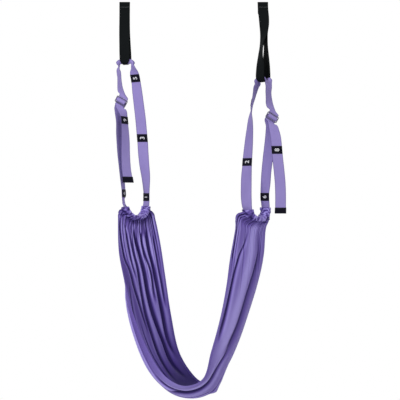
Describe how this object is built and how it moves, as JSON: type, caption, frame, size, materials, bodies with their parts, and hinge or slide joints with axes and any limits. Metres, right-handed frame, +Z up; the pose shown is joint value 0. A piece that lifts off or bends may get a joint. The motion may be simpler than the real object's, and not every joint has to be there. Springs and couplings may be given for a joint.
{
  "type": "door-mounted yoga strap",
  "caption": "Hanging yoga and stretching strap: doubled black straps over a door's top carry adjustable webbing loops that hold a wide gathered cloth sling",
  "frame": {"origin": "midway between the two anchors, on the corner where a door's front face (the plane Y = 0) meets its top (the plane Z = 0)", "axes": "+Z up, -Y out of the door towards the user, +X to the user's right when facing the door"},
  "size_m": [0.6103, 0.3432, 1.4037],
  "materials": {
    "black_webbing": "woven, matt",
    "lilac_webbing": "fine ribbed weave, matt",
    "sling_cloth": "smooth stretch knit, soft sheen",
    "label_cloth": "woven label, matt",
    "slider_metal": "satin",
    "stop_foam": "closed-cell foam, matt",
    "stop_plastic": "matt",
    "tack_thread": "stitched thread"
  },
  "bodies": {
    "door_anchors": {"anchor_strap_top_left": "black_webbing", "anchor_strap_top_right": "black_webbing", "door_stop_foam_left": "stop_foam", "door_stop_foam_right": "stop_foam", "door_stop_core_left": "stop_plastic", "door_stop_core_right": "stop_plastic"},
    "hangers": {"anchor_strap_edge_left": "black_webbing", "anchor_strap_edge_right": "black_webbing", "anchor_strap_drop_left": "black_webbing", "anchor_strap_drop_right": "black_webbing", "bar_tack_left": "tack_thread", "bar_tack_right": "tack_thread", "webbing_link_left": "lilac_webbing", "webbing_link_right": "lilac_webbing", "webbing_short_leg_left": "lilac_webbing", "webbing_short_leg_right": "lilac_webbing", "webbing_long_leg_left": "lilac_webbing", "webbing_long_leg_right": "lilac_webbing", "number_label_left_1": "label_cloth", "number_label_right_1": "label_cloth"},
    "sling_unit": {"sling_cloth": "sling_cloth", "sling_casing_left": "sling_cloth", "sling_casing_right": "sling_cloth", "webbing_back_left": "lilac_webbing", "webbing_back_right": "lilac_webbing", "webbing_thread_left": "lilac_webbing", "webbing_thread_right": "lilac_webbing", "webbing_sewn_end_left": "lilac_webbing", "webbing_sewn_end_right": "lilac_webbing", "slider_left": "slider_metal", "slider_right": "slider_metal", "number_label_left_2": "label_cloth", "number_label_left_3": "label_cloth", "number_label_left_4": "label_cloth", "number_label_right_2": "label_cloth", "number_label_right_3": "label_cloth"},
    "tail_left": {"webbing_tail_left": "lilac_webbing"},
    "tail_right": {"webbing_tail_right": "lilac_webbing"},
    "tail_end_left": {"tail_end_tab_left": "label_cloth", "number_label_left_5": "label_cloth"},
    "tail_end_right": {"tail_end_tab_right": "label_cloth", "number_label_right_4": "label_cloth"}
  },
  "joints": [
    {"name": "strap_swing", "type": "hinge", "parent": "door_anchors", "child": "hangers", "pos_m": [0, 0, 0], "axis": [-1, 0, 0], "range_deg": [0, 60], "deforming": ["anchor_strap_edge_left", "anchor_strap_edge_right"]},
    {"name": "sling_height", "type": "slide", "parent": "hangers", "child": "sling_unit", "axis": [0, 0, 1], "range_m": [-0.01, 0.06], "deforming": ["webbing_short_leg_left", "webbing_short_leg_right", "webbing_long_leg_left", "webbing_long_leg_right"]},
    {"name": "tail_swing_left", "type": "hinge", "parent": "sling_unit", "child": "tail_left", "pos_m": [-0.26346, -0.04129, -0.36953], "axis": [-0.8188, 0.282, 0.5], "range_deg": [0, 80]},
    {"name": "tail_swing_right", "type": "hinge", "parent": "sling_unit", "child": "tail_right", "pos_m": [0.27391, -0.05727, -0.42795], "axis": [-0.8403, -0.2095, 0.5], "range_deg": [0, 80]},
    {"name": "tail_feed_left", "type": "slide", "parent": "tail_left", "child": "tail_end_left", "axis": [-0.1379, 0.3678, 0.9196], "range_m": [-0.12, 0.02], "deforming": ["webbing_tail_left"]},
    {"name": "tail_feed_right", "type": "slide", "parent": "tail_right", "child": "tail_end_right", "axis": [-0.0266, 0.0103, 0.9996], "range_m": [-0.12, 0.02], "deforming": ["webbing_tail_right"]}
  ],
  "couplings": [
    {"joint": "tail_feed_left", "follows": "sling_height", "ratio": -2},
    {"joint": "tail_feed_right", "follows": "sling_height", "ratio": -2}
  ]
}
